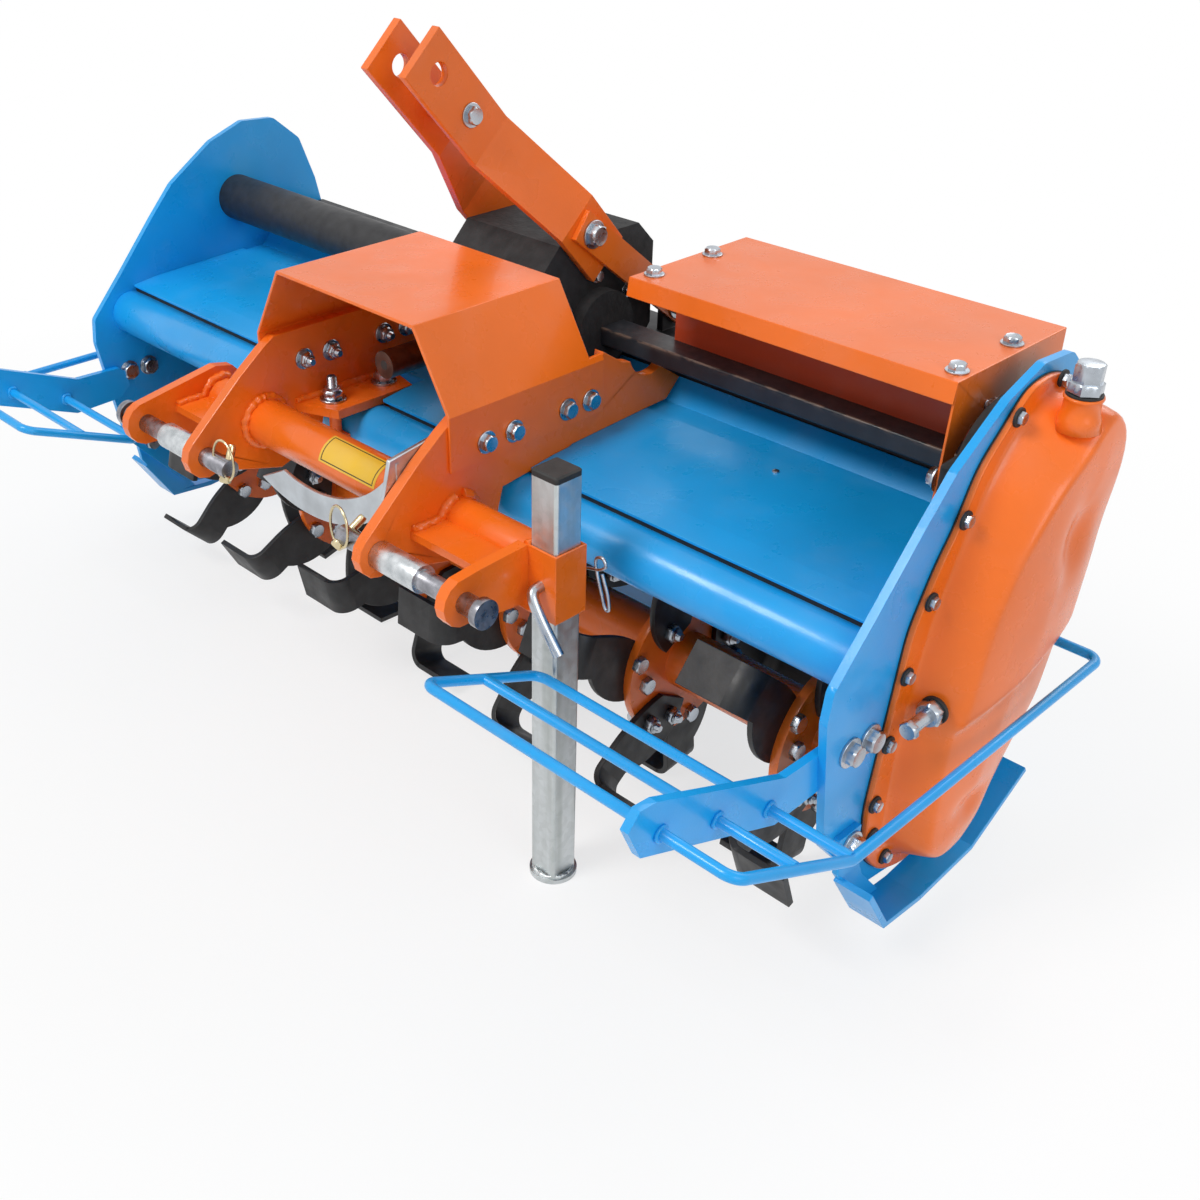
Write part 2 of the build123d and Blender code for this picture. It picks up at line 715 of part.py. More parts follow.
# Blades, six to a flange, turned left and right in pairs
blades = []
for flange_index in range(rotor_flange_count):
    flange_x = rotor_first_flange_x - flange_index * rotor_flange_pitch
    for blade_index in range(blade_per_flange):
        hand = -1 if blade_index % 2 == 0 else 1
        angle = blade_first_angle + blade_index * 360 / blade_per_flange + flange_index * blade_step_angle
        blades.append(blade(flange_x, hand, angle))
save("rotor_blades", Compound(children=blades))

# Tailboard on its hinge rod, with a slotted quadrant at each end
hinge_centre = (tail_hinge_y, tail_hinge_z)
tail_path = [(604, 6), (598, -110), (598, -250), (612, -340), (640, floor_z + 2)]
tail_left = left_plate_inner + tail_end_gap
tail_right = right_plate_inner - tail_end_gap
tail_sheet = bent_sheet(tail_path, tail_t, tail_left, tail_right)
tail_knuckle = x_tube(tail_hinge_y, tail_hinge_z, tail_knuckle_r, tail_left, tail_right)
tail_bore = x_tube(tail_hinge_y, tail_hinge_z, tail_hinge_r + running_gap, tail_left, tail_right)
with BuildPart() as tail:
    add(tail_sheet)
    add(tail_knuckle)
    add(tail_bore, mode=Mode.SUBTRACT)
save("tailboard", tail.part)
save("tail_hinge_rod", x_tube(tail_hinge_y, tail_hinge_z, tail_hinge_r, left_plate_outer, right_plate_outer))

quadrants = []
bolts = []
for x_low, bolt_low, bolt_high in (
    (tail_right - quadrant_t, tail_right - quadrant_t - 10, right_plate_inner),
    (tail_left, left_plate_inner, tail_left + quadrant_t + 10),
):
    with BuildPart() as quadrant:
        with BuildSketch(Plane.YZ.offset(x_low)):
            with BuildLine():
                outer = CenterArc(hinge_centre, quadrant_r + quadrant_half_w, -94, -72)
                inner = CenterArc(hinge_centre, quadrant_r - quadrant_half_w, -94, -72)
                Line(outer @ 0, inner @ 0)
                Line(outer @ 1, inner @ 1)
            make_face()
            with BuildLine():
                slot_outer = CenterArc(hinge_centre, quadrant_r + quadrant_slot_r, -97, -63)
                slot_inner = CenterArc(hinge_centre, quadrant_r - quadrant_slot_r, -97, -63)
                Line(slot_outer @ 0, slot_inner @ 0)
                Line(slot_outer @ 1, slot_inner @ 1)
            make_face(mode=Mode.SUBTRACT)
        extrude(amount=quadrant_t)
    quadrants.append(quadrant.part)
    bolt_y, bolt_z = polar(hinge_centre, quadrant_r, -101)
    bolts.append(x_tube(bolt_y, bolt_z, 5, bolt_low, bolt_high))
save("tail_quadrants", Compound(children=quadrants))
save("quadrant_bolts", Compound(children=bolts))
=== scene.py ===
import math

import bmesh
import bpy
import numpy as np
from mathutils import Matrix, Vector, noise


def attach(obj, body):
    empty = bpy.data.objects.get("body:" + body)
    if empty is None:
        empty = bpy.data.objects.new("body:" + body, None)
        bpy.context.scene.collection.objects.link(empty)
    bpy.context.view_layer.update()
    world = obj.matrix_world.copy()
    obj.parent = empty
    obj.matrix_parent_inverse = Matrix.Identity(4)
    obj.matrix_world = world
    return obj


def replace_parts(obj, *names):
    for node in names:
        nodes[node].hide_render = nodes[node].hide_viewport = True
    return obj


# Rotary tiller. Metres, in the CAD's frame: X towards the gear case, Y to the rear, Z up.
# Sizes are written in millimetres and go through MM, but materials, lamps and the camera use metres.
MM = 0.001

# The side plates: which side, then how far out the outer and the inner face lie
SIDE_PLATES = ((1, 690, 680), (-1, 745, 735))
# Lines along X, as (y, z): the rotor's axis and the middle of the drive housing's flange
ROTOR = (360.0, -232.0)
DRIVE = (448, 127)
# The hitch cross tube: its axis (y, z) and its radius
CROSS = (92.0, 22.0, 30.0)
# Share of half a hexagon's flats that leaves its corners whole
WHOLE = 1.16

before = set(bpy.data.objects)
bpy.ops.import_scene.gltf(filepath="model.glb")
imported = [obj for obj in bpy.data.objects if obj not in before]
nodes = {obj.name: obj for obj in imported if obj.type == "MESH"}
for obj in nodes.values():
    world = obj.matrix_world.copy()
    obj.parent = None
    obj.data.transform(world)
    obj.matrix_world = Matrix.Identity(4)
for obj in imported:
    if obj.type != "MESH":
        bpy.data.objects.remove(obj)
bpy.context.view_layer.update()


# ---------------------------------------------------------------- materials
def shader(name, **sockets):
    """New material whose shader has these plain values."""
    mat = bpy.data.materials.new(name)
    mat.use_nodes = True
    bsdf = mat.node_tree.nodes["Principled BSDF"]
    for socket, value in sockets.items():
        bsdf.inputs[socket.replace("_", " ")].default_value = value
    return mat


def add_node(mat, kind, inputs=None, **settings):
    """Adds a node, sets it up, and links or fills its inputs."""
    tree = mat.node_tree
    node = tree.nodes.new(kind)
    for key, value in settings.items():
        setattr(node, key, value)
    for key, value in (inputs or {}).items():
        if isinstance(value, bpy.types.NodeSocket):
            tree.links.new(value, node.inputs[key])
        else:
            node.inputs[key].default_value = value
    return node


def coords_of(mat):
    """Position in the row frame, in metres."""
    return add_node(mat, "ShaderNodeTexCoord").outputs["Object"]


def math_of(mat, operation, *values):
    """One step of arithmetic."""
    return add_node(mat, "ShaderNodeMath", dict(enumerate(values)), operation=operation).outputs[0]


def noise_of(mat, scale, detail=4.0, stretch=(1, 1, 1)):
    """Noise over the row frame, with features about one over the scale in metres."""
    stretched = add_node(mat, "ShaderNodeMapping", {"Vector": coords_of(mat), "Scale": stretch})
    inputs = {"Vector": stretched.outputs["Vector"], "Scale": scale, "Detail": detail}
    return add_node(mat, "ShaderNodeTexNoise", inputs).outputs["Fac"]


def ramp_of(mat, fac, low, high, start=0.0, end=1.0):
    """A value or colour that goes from low to high as fac goes from start to end."""
    ramp = add_node(mat, "ShaderNodeValToRGB", {"Fac": fac})
    first, last = ramp.color_ramp.elements
    first.position, last.position = start, end
    first.color = low if isinstance(low, tuple) else (low, low, low, 1)
    last.color = high if isinstance(high, tuple) else (high, high, high, 1)
    return ramp.outputs["Color"]


def mix_of(mat, fac, first, second, blend="MIX"):
    """Two colours mixed by a factor."""
    mix = add_node(mat, "ShaderNodeMix", data_type="RGBA", blend_type=blend)
    pairs = ((mix.inputs[0], fac), (mix.inputs[6], first), (mix.inputs[7], second))
    for socket, value in pairs:
        if isinstance(value, bpy.types.NodeSocket):
            mat.node_tree.links.new(value, socket)
        else:
            socket.default_value = value
    return mix.outputs[2]


def bump_of(mat, height, distance, strength=1.0, under=None):
    """Bump from a height, over another bump if one is given."""
    inputs = {"Height": height, "Distance": distance, "Strength": strength}
    if under:
        inputs["Normal"] = under
    return add_node(mat, "ShaderNodeBump", inputs).outputs["Normal"]


def connect(mat, **links):
    """Links outputs to the shader's sockets."""
    bsdf = mat.node_tree.nodes["Principled BSDF"]
    for socket, output in links.items():
        mat.node_tree.links.new(output, bsdf.inputs[socket.replace("_", " ")])


def shade(colour, factor):
    """A colour made darker or paler."""
    return tuple(min(1.0, c * factor) for c in colour) + (1,)


def paint(name, colour, gloss, peel=0.00012, dust=0.05):
    """Sprayed enamel: faint patches, fine dust, orange peel and uneven gloss."""
    mat = shader(name, Coat_Weight=0.12, Coat_Roughness=0.06, Specular_IOR_Level=0.42)
    patches = ramp_of(mat, noise_of(mat, 5), shade(colour, 0.88), shade(colour, 1.06), 0.3, 0.7)
    specks = ramp_of(mat, noise_of(mat, 900, 1), 0.0, 1.0, 0.72, 0.78)
    grime = ramp_of(mat, noise_of(mat, 14, 8), 0.0, dust, 0.5, 0.8)
    dusty = mix_of(mat, grime, patches, (0.62, 0.60, 0.56, 1))
    speckled = mix_of(mat, specks, dusty, shade(colour, 1.25))
    rough = ramp_of(mat, noise_of(mat, 22, 6), gloss, gloss + 0.12, 0.35, 0.7)
    waves = bump_of(mat, noise_of(mat, 30, 2), 0.0006, 0.35)
    skin = bump_of(mat, noise_of(mat, 420, 2), peel, 0.8, waves)
    connect(mat, Base_Color=speckled, Roughness=rough, Normal=skin)
    return mat


def steel(name, colour, gloss, grain=(1, 1, 1), patch=0.75, scale=45):
    """Bare or plated metal: cloudy plating, fine scratches and uneven gloss."""
    mat = shader(name, Metallic=1.0)
    dull, bright = shade(colour, patch), shade(colour, 1.05)
    cloud = ramp_of(mat, noise_of(mat, scale, 6), dull, bright, 0.35, 0.68)
    lines = noise_of(mat, 700, 3, grain)
    rough = ramp_of(mat, noise_of(mat, scale * 2, 5, grain), gloss, gloss + 0.2, 0.3, 0.75)
    connect(mat, Base_Color=cloud, Roughness=rough, Normal=bump_of(mat, lines, 0.00006, 0.6))
    return mat


def galvanised(name):
    """Zinc coat with its crystal patches and long streaks down the tube."""
    mat = shader(name, Metallic=0.85)
    cells = add_node(mat, "ShaderNodeTexVoronoi", {"Vector": coords_of(mat), "Scale": 130})
    dull, bright = (0.55, 0.58, 0.585, 1), (0.61, 0.64, 0.65, 1)
    spangle = ramp_of(mat, cells.outputs["Color"], dull, bright, 0.2, 0.8)
    streak = ramp_of(mat, noise_of(mat, 60, 5, (1, 1, 0.06)), 0.0, 0.55, 0.42, 0.68)
    colour = mix_of(mat, streak, spangle, (0.34, 0.37, 0.35, 1))
    rough = ramp_of(mat, noise_of(mat, 80, 5), 0.28, 0.52, 0.3, 0.7)
    dents = bump_of(mat, noise_of(mat, 260, 3), 0.0001, 0.7)
    connect(mat, Base_Color=colour, Roughness=rough, Normal=dents)
    return mat


def matte(name, colour, rough, grain_scale, depth):
    """Rubber, plastic or rough casting: mottled colour over a fine grain."""
    mat = shader(name)
    mottled = ramp_of(mat, noise_of(mat, 70, 5), shade(colour, 0.6), shade(colour, 1.6), 0.3, 0.72)
    uneven = ramp_of(mat, noise_of(mat, 40, 5), rough, min(1.0, rough + 0.2), 0.3, 0.7)
    grain = bump_of(mat, noise_of(mat, grain_scale, 5), depth, 0.9)
    connect(mat, Base_Color=mottled, Roughness=uneven, Normal=grain)
    return mat


def worn_bar():
    """Black enamel on the drive housing, chipped to a paler brown along its upper front edge."""
    mat = shader("bar_black_worn", Coat_Weight=0.1, Coat_Roughness=0.2)
    split = add_node(mat, "ShaderNodeSeparateXYZ", {"Vector": coords_of(mat)})
    # The edge is at y 0.437, z 0.132: chips fade out some 3 mm behind it and below it
    front = ramp_of(mat, split.outputs["Y"], 1.0, 0.0, 0.4372, 0.4405)
    top = ramp_of(mat, split.outputs["Z"], 0.0, 1.0, 0.1285, 0.1318)
    ridge = math_of(mat, "MULTIPLY", front, top)
    breaks = ramp_of(mat, noise_of(mat, 120, 6, (0.35, 1, 1)), 0.0, 1.0, 0.46, 0.56)
    chips = math_of(mat, "MULTIPLY", ridge, breaks)
    dark, pale = (0.008, 0.009, 0.012, 1), (0.020, 0.022, 0.028, 1)
    cloud = ramp_of(mat, noise_of(mat, 26, 7), dark, pale, 0.3, 0.7)
    colour = mix_of(mat, chips, cloud, (0.23, 0.15, 0.11, 1))
    rough = ramp_of(mat, noise_of(mat, 60, 6), 0.34, 0.55, 0.3, 0.7)
    grain = bump_of(mat, noise_of(mat, 380, 4), 0.0001, 0.8)
    connect(mat, Base_Color=colour, Roughness=rough, Normal=grain)
    return mat


ORANGE = (0.90, 0.165, 0.010)
BLUE = (0.008, 0.375, 0.86)
orange = paint("orange_paint_gloss", ORANGE, 0.24)
blue = paint("blue_paint_gloss", BLUE, 0.26)
blade_black = matte("blade_black", (0.011, 0.011, 0.012), 0.38, 260, 0.00012)
beam_black = matte("beam_black", (0.014, 0.014, 0.016), 0.42, 500, 0.00008)
cast_black = matte("cast_black_rough", (0.014, 0.014, 0.015), 0.7, 180, 0.0009)
rubber = matte("rubber_black", (0.012, 0.012, 0.012), 0.55, 650, 0.00012)
zinc = steel("zinc_bright", (0.50, 0.54, 0.59), 0.2)
sheet_zinc = steel("zinc_sheet", (0.62, 0.66, 0.70), 0.3, (1, 1, 1), 0.7, 24)
brass = steel("yellow_zinc", (0.70, 0.60, 0.38), 0.18)
brown_steel = steel("oiled_steel", (0.13, 0.095, 0.08), 0.26, (0.1, 1, 1), 0.55, 60)
stand_zinc = galvanised("stand_galvanised")
# Orange paint darkened to dark red: painted shade for the sheet under the cover
painted_shade_orange = paint("orange_under_painted_shade", (0.50, 0.052, 0.010), 0.36)
label_yellow = paint("label_yellow", (0.86, 0.52, 0.03), 0.38, 0.00003, 0.12)
bar_black = worn_bar()
label_black = matte("label_black", (0.012, 0.012, 0.012), 0.45, 300, 0.00003)


def pin_steel():
    """Hitch pin: oiled steel, with galvanised sleeves between the plates."""
    mat = shader("pin_and_sleeve", Metallic=1.0)
    sleeve_from, sleeve_to = 0.1825, 0.2585
    split = add_node(mat, "ShaderNodeSeparateXYZ", {"Vector": coords_of(mat)})
    across = math_of(mat, "ABSOLUTE", split.outputs["X"])
    past = math_of(mat, "GREATER_THAN", across, sleeve_from)
    before = math_of(mat, "LESS_THAN", across, sleeve_to)
    sleeve = math_of(mat, "MULTIPLY", past, before)
    bare = ramp_of(mat, noise_of(mat, 70, 6), (0.19, 0.19, 0.21, 1), (0.42, 0.42, 0.46, 1), 0.35, 0.7)
    coat = ramp_of(mat, noise_of(mat, 60, 6), (0.45, 0.48, 0.50, 1), (0.72, 0.75, 0.77, 1), 0.35, 0.65)
    rough = ramp_of(mat, noise_of(mat, 90, 5), 0.2, 0.42, 0.3, 0.75)
    scratches = bump_of(mat, noise_of(mat, 500, 3, (0.1, 1, 1)), 0.00006, 0.6)
    colour = mix_of(mat, sleeve, bare, coat)
    connect(mat, Base_Color=colour, Roughness=rough, Normal=scratches)
    return mat


# ------------------------------------------------------- looks of the CAD nodes
def bevelled(obj, width, angle=30):
    """Small bevel on every edge sharper than the angle."""
    bevel = obj.modifiers.new("edges", "BEVEL")
    bevel.width = width * MM
    bevel.segments = 2
    bevel.limit_method = "ANGLE"
    bevel.angle_limit = math.radians(angle)


looks = {
    blue: (
        "side_plate_right side_plate_left front_tube deck_front deck_rear guard_right guard_left "
        "skid_right skid_left tailboard tail_quadrants"
    ),
    beam_black: "cross_beam drive_tube support_tube rotor_hub_left rotor_hub_right",
    cast_black: "drive_flange gearbox",
    blade_black: "rotor_blades",
    rubber: "stand_cap case_gasket",
    zinc: "filler_cap tail_hinge_rod quadrant_bolts",
    sheet_zinc: "shaft_hook",
    brown_steel: "pto_shaft",
    stand_zinc: "stand_tube",
    pin_steel(): "hitch_pin_left hitch_pin_right",
}
look_of = {node: mat for mat, names in looks.items() for node in names.split()}
edge_widths = {"rotor_blades": 0.8, "hitch_pin_left": 0.8, "hitch_pin_right": 0.8}
for name, node in nodes.items():
    mat = look_of.get(name, orange)
    node.data.materials.clear()
    node.data.materials.append(mat)
    weld = node.modifiers.new("joined", "WELD")
    weld.merge_threshold = 0.00002
    bevelled(node, edge_widths.get(name, 1.0), 55)


# --------------------------------------------------------------- mesh helpers
class Bag:
    """Faces gathered from many small forms for one joined piece. Points are in millimetres."""

    def __init__(self):
        self.points = []
        self.faces = []

    def add(self, points, faces, matrix=Matrix()):
        start = len(self.points)
        self.points += [matrix @ Vector(p) for p in points]
        self.faces += [[start + i for i in face] for face in faces]

    def piece(self, name, mat, body, angle=38):
        mesh = bpy.data.meshes.new(name)
        mesh.from_pydata([p * MM for p in self.points], [], self.faces)
        mesh.materials.append(mat)
        mesh.validate()
        cleaned = bmesh.new()
        cleaned.from_mesh(mesh)
        bmesh.ops.recalc_face_normals(cleaned, faces=cleaned.faces)
        cleaned.to_mesh(mesh)
        cleaned.free()
        mesh.shade_smooth()
        mesh.set_sharp_from_angle(angle=math.radians(angle))
        obj = bpy.data.objects.new(name, mesh)
        bpy.context.scene.collection.objects.link(obj)
        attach(obj, body)
        return obj


def facing(point, axis):
    """Matrix that puts a form made along +Z at a point, along an axis."""
    turn = Vector(axis).to_track_quat("Z", "Y").to_matrix().to_4x4()
    return Matrix.Translation(Vector(point)) @ turn


def rings(loops, closed_ends=True):
    """Skin over loops that have as many points each."""
    count = len(loops[0])
    points = [p for loop in loops for p in loop]
    faces = []
    for level in range(len(loops) - 1):
        for i in range(count):
            j = (i + 1) % count
            low, high = level * count, (level + 1) * count
            faces.append((low + i, low + j, high + j, high + i))
    if closed_ends:
        last = (len(loops) - 1) * count
        faces.append(tuple(reversed(range(count))))
        faces.append(tuple(last + i for i in range(count)))
    return points, faces


def lathe(profile, count=24):
    """Solid of revolution about Z from (radius, height) pairs."""
    turns = [2 * math.pi * i / count for i in range(count)]
    return rings([[(r * math.cos(a), r * math.sin(a), z) for a in turns] for r, z in profile])


def hexagon(flats, profile, count=24):
    """Hexagonal bar about Z. Its (share, height) pairs cap the corners, as WHOLE says."""
    loops = []
    for share, height in profile:
        loop = []
        for i in range(count):
            a = 2 * math.pi * i / count
            off = (a + math.pi / 6) % (math.pi / 3) - math.pi / 6
            r = min(flats / 2 / math.cos(off), share * flats / 2)
            loop.append((r * math.cos(a), r * math.sin(a), height))
        loops.append(loop)
    return rings(loops)


def washer(bag, at, radius, hole, thickness):
    """Flat ring with eased edges."""
    eased_edge = 0.4
    profile = [(hole, 0), (radius - eased_edge, 0), (radius, eased_edge)]
    profile += [(radius, thickness - eased_edge), (radius - eased_edge, thickness), (hole, thickness)]
    bag.add(*lathe(profile), at)


def plain_nut(bag, at, flats, low, high, top):
    """Hex nut whose corners are whole between two heights."""
    bag.add(*hexagon(flats, [(1.0, 0), (WHOLE, low), (WHOLE, high), (0.95, top)]), at)


def bolt(bag, point, axis, flats=19, turn=0.0, plate=True):
    """Hex head with a dished top on a washer."""
    at = facing(point, axis) @ Matrix.Rotation(math.radians(turn), 4, "Z")
    rise = 0.13 * flats if plate else 0.0
    if plate:
        washer(bag, at, 0.74 * flats, 0.3 * flats, rise)
    top = rise + 0.42 * flats
    head = [(WHOLE, rise), (WHOLE, top - 0.09 * flats), (0.95, top)]
    head += [(0.72, top - 0.02 * flats), (0.05, top - 0.03 * flats)]
    bag.add(*hexagon(flats, head), at)


def lock_nut(bag, point, axis, flats=22, stud=7.0, turn=0.0, plate=True):
    """Hex nut with its collar, a threaded stud end and a washer."""
    at = facing(point, axis) @ Matrix.Rotation(math.radians(turn), 4, "Z")
    rise = 0.13 * flats if plate else 0.0
    if plate:
        washer(bag, at, 0.74 * flats, 0.3 * flats, rise)
    top = rise + 0.48 * flats
    body = [(0.96, rise), (WHOLE, rise + 0.07 * flats), (WHOLE, top - 0.08 * flats), (0.9, top)]
    bag.add(*hexagon(flats, body), at)
    rim_top = top + 0.16 * flats
    collar = [(0.43, top - 1), (0.43, rim_top - 1), (0.36, rim_top), (0.28, rim_top)]
    bag.add(*lathe([(share * flats, height) for share, height in collar]), at)
    thread = [(0.26 * flats, rim_top - 2)]
    pitch = 1.8
    height = rim_top
    while height < rim_top + stud:
        thread += [(0.29 * flats, height), (0.255 * flats, height + pitch / 2)]
        height += pitch
    thread += [(0.22 * flats, height + 0.6)]
    bag.add(*lathe(thread, 18), at)


def swept(points, radius, closed=False, count=10, steps=6):
    """Round wire along a smooth line through points."""
    line = smooth_line([Vector(p) for p in points], closed, steps)
    loops = []
    side = None
    total = len(line)
    for i, here in enumerate(line):
        ahead = line[(i + 1) % total] if closed or i < total - 1 else here
        behind = line[i - 1] if closed or i > 0 else here
        along = (ahead - behind).normalized()
        if side is None:
            side = along.orthogonal().normalized()
        side = (side - along * side.dot(along)).normalized()
        up = along.cross(side)
        turns = [2 * math.pi * k / count for k in range(count)]
        loops.append([tuple(here + radius * (math.cos(a) * side + math.sin(a) * up)) for a in turns])
    if not closed:
        return rings(loops)
    points, faces = rings(loops, closed_ends=False)
    last = (total - 1) * count
    for k in range(count):
        nxt = (k + 1) % count
        faces.append((last + k, last + nxt, nxt, k))
    return points, faces


def smooth_line(points, closed, steps):
    """Points of a Catmull-Rom line through the given points."""
    total = len(points)
    spans = total if closed else total - 1
    line = []
    for i in range(spans):
        p1, p2 = points[i], points[(i + 1) % total]
        p0 = points[i - 1] if closed or i > 0 else p1
        p3 = points[(i + 2) % total] if closed or i + 2 < total else p2
        for k in range(steps):
            t = k / steps
            second = (2 * p0 - 5 * p1 + 4 * p2 - p3) * t * t
            third = (3 * p1 - p0 - 3 * p2 + p3) * t**3
            line.append(0.5 * (2 * p1 + (p2 - p0) * t + second + third))
    if not closed:
        line.append(points[-1])
    return line


def weld_line(bag, points, bead, seed=0.0, closed=False):
    """Weld bead along a line: overlapping ripples with an uneven edge, on ten sides."""
    sides = 10
    line = smooth_line([Vector(p) for p in points], closed, 10)
    even = [line[0]]
    step = bead * 0.35
    for here in line[1:] + ([line[0]] if closed else []):
        while (here - even[-1]).length > step:
            even.append(even[-1] + (here - even[-1]).normalized() * step)
    loops = []
    side = None
    for i, here in enumerate(even):
        along = (even[min(i + 1, len(even) - 1)] - even[max(i - 1, 0)]).normalized()
        if side is None:
            side = along.orthogonal().normalized()
        side = (side - along * side.dot(along)).normalized()
        up = along.cross(side)
        ripple = 0.86 + 0.12 * abs(math.sin(i * 0.85 + seed))
        loop = []
        for k in range(sides):
            a = 2 * math.pi * k / sides
            spot = here + bead * (math.cos(a) * side + math.sin(a) * up)
            lumps = 1 + 0.42 * noise.noise(spot * 0.16 + Vector((seed, 0, 0)))
            loop.append(tuple(here + (spot - here) * ripple * lumps))
        loops.append(loop)
    bag.add(*rings(loops))


def ring_points(centre, radius, start=0, end=360, count=24, axis="X"):
    """Points round a circle about X or about Z."""
    found = []
    for i in range(count + (0 if end - start == 360 else 1)):
        a = math.radians(start + (end - start) * i / count)
        flat = (radius * math.cos(a), radius * math.sin(a))
        if axis == "X":
            found.append((centre[0], centre[1] + flat[0], centre[2] + flat[1]))
        else:
            found.append((centre[0] + flat[0], centre[1] + flat[1], centre[2]))
    return found


# ------------------------------------------------------------ pressed gear case
CASE_TOP = (470.0, 118.0)
RIM_BACK, RIM_FACE = 692.2, 698.4
GRID_FROM, GRID_TO, GRID_STEP = (230, -360), (600, 250), 2.0


def around(centre, radius, angle):
    """Point on a circle in the (y, z) plane."""
    turn = math.radians(angle)
    return Vector((centre[0] + radius * math.cos(turn), centre[1] + radius * math.sin(turn)))


def resampled(outline, count):
    """The closed outline as evenly spaced points."""
    ends = outline + [outline[0]]
    lengths = [(ends[i + 1] - ends[i]).length for i in range(len(outline))]
    total = sum(lengths)
    found = []
    for k in range(count):
        left = total * k / count
        i = 0
        while left > lengths[i]:
            left -= lengths[i]
            i += 1
        found.append(ends[i].lerp(ends[i + 1], left / lengths[i]))
    return found


def relaxed(loop, rounds):
    """The closed loop with its corners eased."""
    for _ in range(rounds):
        total = len(loop)
        loop = [loop[i] * 0.5 + (loop[i - 1] + loop[(i + 1) % total]) * 0.25 for i in range(total)]
    return loop


def eased(value, low, high):
    """0 below low, 1 above high and a smooth rise between them."""
    t = np.clip((value - low) / (high - low), 0.0, 1.0)
    return t * t * (3 - 2 * t)


# Outline of the case as (y, z) points: its front edge, round the top, down its rear and round the foot
case_front = ((249, -214), (264, -112), (281, 10), (288, 21), (316, 77), (335, 100), (366, 166))
case_outline = [Vector(p) for p in (*case_front, (400, 194))]
case_outline += [around(CASE_TOP, 116, a) for a in (108, 84, 60, 36, 12)]
case_outline += [Vector(p) for p in ((578, 20), (560, -90), (540, -170))]
case_outline += [around(ROTOR, 114, a) for a in (-12, -40, -68, -96, -124, -152)]
rim = relaxed(resampled(case_outline, 220), 10)

# Where the flat rim bends up into the wall, and where the wall meets the face
bend = [(289, -268), (288, -220), (289, -162), (294, -110), (302, -57), (319, 9), (347, 76)]
bend += [(383, 148), (414, 184), (446, 207), (480, 216), (512, 212), (545, 186), (562, 150)]
bend += [(569, 110), (563, 20), (545, -88), (525, -164), (461, -244)]
bend += [tuple(around(ROTOR, r, a)) for r, a in ((99, -40), (99, -70), (96, -100), (88, -130))]
crease = [(316, -250), (311, -200), (312, -139), (322, -95), (333, -31), (345, 22), (379, 86)]
crease += [(420, 142), (458, 170), (474, 188), (490, 206), (508, 205), (534, 180), (548, 148)]
crease += [(554, 108), (548, 20), (530, -86), (511, -156), (449, -236)]
crease += [tuple(around(ROTOR, r, a)) for r, a in ((84, -40), (85, -70), (82, -100), (70, -128))]
# The face is stepped in below this line
step_line = ((150, -118), (308, -112), (404, -92), (492, -72), (700, -20))


def loop_distance(y, z, corners):
    """Distance of each grid point from the closed loop, and whether it lies inside."""
    loop = np.array([tuple(p) for p in relaxed(resampled([Vector(c) for c in corners], 150), 3)])
    ahead = np.roll(loop, -1, axis=0)
    nearest = np.full(y.shape, 1e9)
    inside = np.zeros(y.shape, dtype=bool)
    for (y0, z0), (y1, z1) in zip(loop, ahead):
        along = ((y - y0) * (y1 - y0) + (z - z0) * (z1 - z0)) / ((y1 - y0) ** 2 + (z1 - z0) ** 2)
        along = np.clip(along, 0, 1)
        off_y, off_z = y - y0 - along * (y1 - y0), z - z0 - along * (z1 - z0)
        nearest = np.minimum(nearest, np.hypot(off_y, off_z))
        if z0 != z1:
            crosses = ((z0 > z) != (z1 > z)) & (y < y0 + (z - z0) * (y1 - y0) / (z1 - z0))
            inside ^= crosses
    return nearest, inside


def case_heights():
    """How far out the pressing is over the grid: flat rim, wall, face, its step and two hollows."""
    spans = [np.arange(low, high, GRID_STEP) for low, high in zip(GRID_FROM, GRID_TO)]
    y, z = np.meshgrid(*spans, indexing="ij")
    to_bend, in_bend = loop_distance(y, z, bend)
    to_crease, in_crease = loop_distance(y, z, crease)
    share = np.where(in_crease, 1.0, np.where(in_bend, to_bend / (to_bend + to_crease + 1e-6), 0.0))
    # The face's border rises by 11 mm towards the top, and its middle bulges to 767 mm
    edge = 753 + 11 * eased(z, 40, 190)
    face = edge + (767 - edge) * (1 - np.exp(-to_crease / 55))
    height = np.where(in_crease, face, RIM_FACE + (edge - RIM_FACE) * share)
    below = np.interp(y, *zip(*step_line)) - z
    height -= 10 * share * eased(below, -5, 9)
    # Hollows: depth, middle (y, z) and how wide they are each way
    for depth, y_mid, z_mid, y_wide, z_wide in ((12.0, 478, 66, 24, 40), (10.0, 384, -246, 30, 20)):
        height -= depth * share * np.exp(-(((y - y_mid) / y_wide) ** 2 + ((z - z_mid) / z_wide) ** 2))
    # Blur that rounds the bends, over this many grid steps each way
    reach, sigma = 6, 1.3
    spread = np.exp(-((np.arange(-reach, reach + 1) / sigma) ** 2) / 2)
    spread /= spread.sum()
    padded = np.pad(height, reach, mode="edge")
    blurred = sum(w * padded[k : k + height.shape[0], :] for k, w in enumerate(spread))
    return sum(w * blurred[:, k : k + height.shape[1]] for k, w in enumerate(spread))


case_grid = case_heights()


def case_x(y, z):
    """How far out the pressing is at a point, from the grid."""
    i, j = (y - GRID_FROM[0]) / GRID_STEP, (z - GRID_FROM[1]) / GRID_STEP
    i0, j0 = int(i), int(j)
    u, v = i - i0, j - j0
    low = case_grid[i0, j0] * (1 - u) + case_grid[i0 + 1, j0] * u
    high = case_grid[i0, j0 + 1] * (1 - u) + case_grid[i0 + 1, j0 + 1] * u
    return float(low * (1 - v) + high * v)


